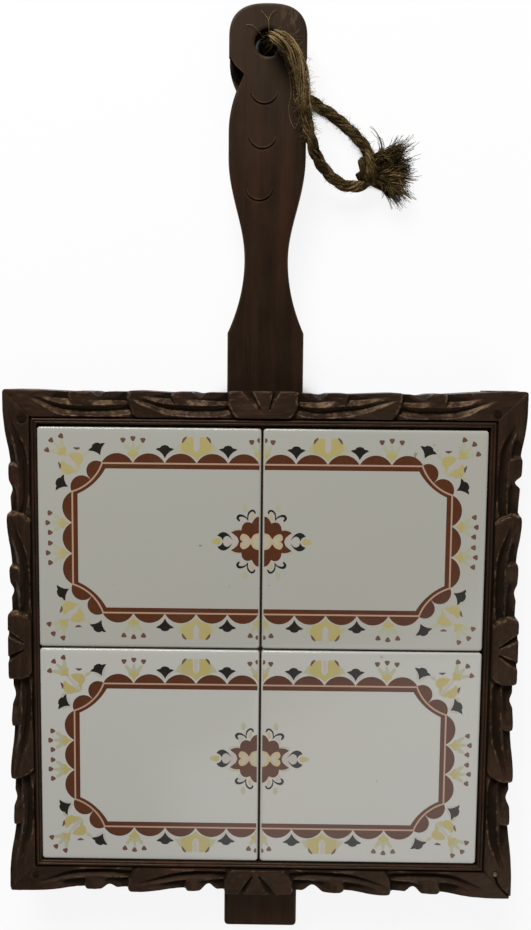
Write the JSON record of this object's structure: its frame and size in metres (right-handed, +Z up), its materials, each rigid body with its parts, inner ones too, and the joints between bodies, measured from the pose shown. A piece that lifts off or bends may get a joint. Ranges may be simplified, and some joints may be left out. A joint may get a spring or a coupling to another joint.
{
  "type": "trivet",
  "caption": "Tiled trivet in a carved wooden frame, on a board with a long handle, a hanging hole and a knotted rope loop.",
  "frame": {"origin": "on the table, under the middle of the box round the rigid parts, without the rope", "axes": "+X across the trivet, +Y along the handle towards the hanging hole, +Z up out of the tiles"},
  "size_m": [0.25, 0.456, 0.03],
  "materials": {
    "carved_wood": "dark stained and waxed, worn on the ridges",
    "board_wood": "dark stained, satin, straight grain",
    "panel_wood": "raw plywood",
    "peg_wood": "end grain",
    "printed_tile": "clear gloss glaze over a printed border",
    "adhesive": "matt",
    "screw_steel": "zinc, satin",
    "brad_steel": "bright drawn wire",
    "nail_metal": "hammered bright",
    "rope_fibre": "coarse laid fibre"
  },
  "bodies": {
    "trivet": {"rail_top": "carved_wood", "rail_bottom": "carved_wood", "rail_left": "carved_wood", "rail_right": "carved_wood", "tile_upper_left": "printed_tile", "tile_upper_right": "printed_tile", "tile_lower_left": "printed_tile", "tile_lower_right": "printed_tile", "bed_upper_left": "adhesive", "bed_upper_right": "adhesive", "bed_lower_left": "adhesive", "bed_lower_right": "adhesive", "backing_panel": "panel_wood", "handle_board": "board_wood", "board_screws": "screw_steel", "panel_brads": "brad_steel", "peg_top_left": "peg_wood", "peg_top_right": "peg_wood", "peg_bottom_left": "peg_wood", "nail_bottom_right": "nail_metal"},
    "rope_loop": {"rope_front_strand": "rope_fibre", "rope_back_strand": "rope_fibre", "rope_knot": "rope_fibre", "rope_frayed_end": "rope_fibre"}
  },
  "joints": [
    {"name": "rope_swing", "type": "hinge", "parent": "trivet", "child": "rope_loop", "pos_m": [0.0006, 0.211, 0.0125], "axis": [0, 0, 1], "range_deg": [0, 140]}
  ]
}
